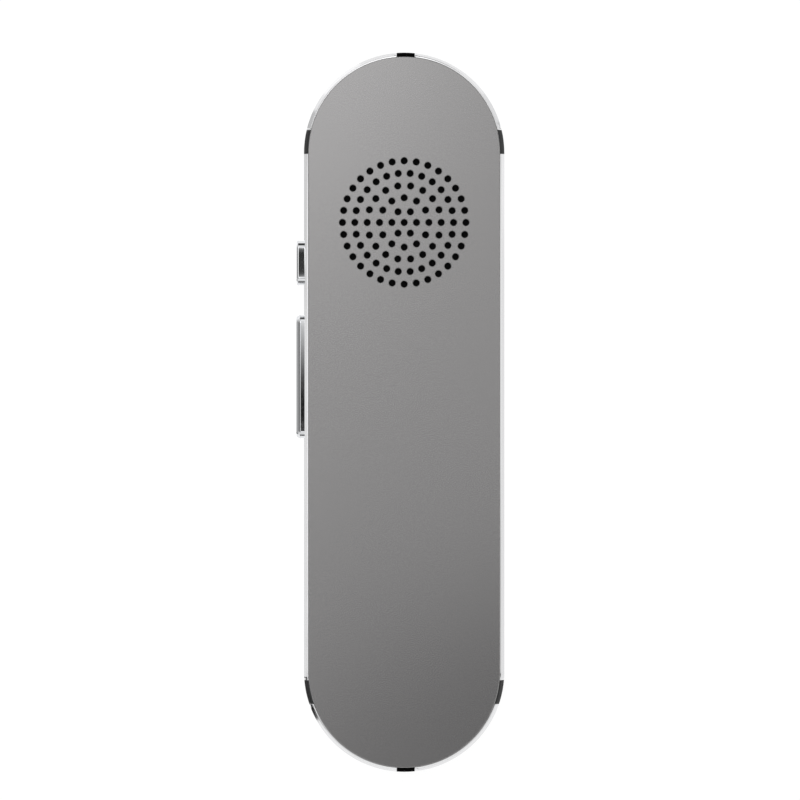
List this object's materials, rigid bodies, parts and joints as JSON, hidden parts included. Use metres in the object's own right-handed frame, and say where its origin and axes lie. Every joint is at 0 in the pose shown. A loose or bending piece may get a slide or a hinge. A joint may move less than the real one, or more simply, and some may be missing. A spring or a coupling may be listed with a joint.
{
  "type": "handheld translator",
  "caption": "Slim stick-shaped voice translator with round ends, a round loudspeaker grille, a segmented metal band and two side keys.",
  "frame": {"origin": "centre of the back cover's outer face, which the object lies on", "axes": "+Z out of the grille cover, +Y along the length towards the grille end, -X out of the side that carries the keys"},
  "size_m": [0.0406, 0.14, 0.012],
  "materials": {
    "cover_metal": "bead-blasted and anodised grey",
    "band_metal": "polished, with a bright chamfer",
    "break_plastic": "moulded in black",
    "chassis_plastic": "moulded in dark grey",
    "key_metal": "polished",
    "steel": "plain",
    "switch_plastic": "moulded in black",
    "plunger_plastic": "moulded in ivory",
    "board_laminate": "green solder mask",
    "chip_epoxy": "moulded epoxy",
    "shield_tin": "tinned sheet",
    "gold_plate": "gold-plated spring strip",
    "port_steel": "nickel-plated",
    "cell_pouch": "laminated pouch",
    "foam": "closed-cell foam",
    "amber_tape": "polyimide tape over a circuit",
    "socket_nylon": "moulded in natural nylon",
    "lead_pvc": "insulated leads",
    "speaker_frame": "moulded in dark grey",
    "magnet_plate": "nickel-plated",
    "coil_copper": "enamelled copper wire",
    "cone_paper": "pressed and dyed",
    "soft_rubber": "moulded",
    "mesh_cloth": "fine black mesh",
    "light_clear": "clear moulded rod",
    "light_white": "moulded"
  },
  "bodies": {
    "housing": {"front_cover": "cover_metal", "back_cover": "cover_metal", "front_tape": "foam", "back_tape": "foam", "band_left": "band_metal", "band_right": "band_metal", "band_top_left": "band_metal", "band_top_right": "band_metal", "band_bottom_left": "band_metal", "band_bottom_right": "band_metal", "break_top": "break_plastic", "break_bottom": "break_plastic", "break_upper_left": "break_plastic", "break_upper_right": "break_plastic", "break_lower_left": "break_plastic", "break_lower_right": "break_plastic", "chassis": "chassis_plastic", "talk_key_pin": "steel", "power_switch": "switch_plastic", "talk_switch_upper": "switch_plastic", "talk_switch_lower": "switch_plastic", "switch_covers": "shield_tin", "main_board": "board_laminate", "board_screws": "steel", "processor": "chip_epoxy", "processor_shield": "shield_tin", "board_chips": "chip_epoxy", "antenna": "gold_plate", "usb_shell": "port_steel", "usb_tongue": "switch_plastic", "battery_cell": "cell_pouch", "battery_pad": "foam", "battery_circuit": "amber_tape", "battery_socket": "socket_nylon", "battery_leads": "lead_pvc", "speaker_bracket": "chassis_plastic", "bracket_screws": "steel", "speaker_basket": "speaker_frame", "speaker_yoke": "steel", "speaker_magnet": "magnet_plate", "speaker_gasket": "foam", "grille_mesh": "mesh_cloth", "speaker_leads": "lead_pvc", "microphone": "port_steel", "microphone_boot": "soft_rubber", "status_light": "light_white", "light_pipe": "light_clear"},
    "power_key": {"power_key": "key_metal"},
    "power_plunger": {"power_plunger": "plunger_plastic"},
    "talk_key": {"talk_key": "key_metal"},
    "talk_plunger_upper": {"talk_plunger_upper": "plunger_plastic"},
    "talk_plunger_lower": {"talk_plunger_lower": "plunger_plastic"},
    "speaker_cone": {"speaker_cone": "cone_paper", "speaker_coil": "coil_copper", "speaker_surround": "soft_rubber"}
  },
  "joints": [
    {"name": "power_key_press", "type": "slide", "parent": "housing", "child": "power_key", "axis": [1, 0, 0], "range_m": [0, 0.00025], "stiffness_N_per_m": 4000},
    {"name": "power_plunger_press", "type": "slide", "parent": "housing", "child": "power_plunger", "axis": [1, 0, 0], "range_m": [0, 0.00025]},
    {"name": "talk_key_rock", "type": "hinge", "parent": "housing", "child": "talk_key", "pos_m": [-0.0165, 0.0069, 0.006], "axis": [0, 0, 1], "range_deg": [-1.5, 1.5], "stiffness_Nm_per_rad": 0.3},
    {"name": "talk_plunger_upper_press", "type": "slide", "parent": "housing", "child": "talk_plunger_upper", "axis": [1, 0, 0], "range_m": [-0.000197, 0.000197]},
    {"name": "talk_plunger_lower_press", "type": "slide", "parent": "housing", "child": "talk_plunger_lower", "axis": [1, 0, 0], "range_m": [-0.000197, 0.000197]},
    {"name": "speaker_cone_stroke", "type": "slide", "parent": "housing", "child": "speaker_cone", "axis": [0, 0, 1], "range_m": [-0.00025, 0.00025], "stiffness_N_per_m": 2000, "deforming": ["speaker_surround"]}
  ],
  "couplings": [
    {"joint": "power_plunger_press", "follows": "power_key_press", "ratio": 1},
    {"joint": "talk_plunger_upper_press", "follows": "talk_key_rock", "m_per_rad": -0.0075},
    {"joint": "talk_plunger_lower_press", "follows": "talk_key_rock", "m_per_rad": 0.0075}
  ]
}
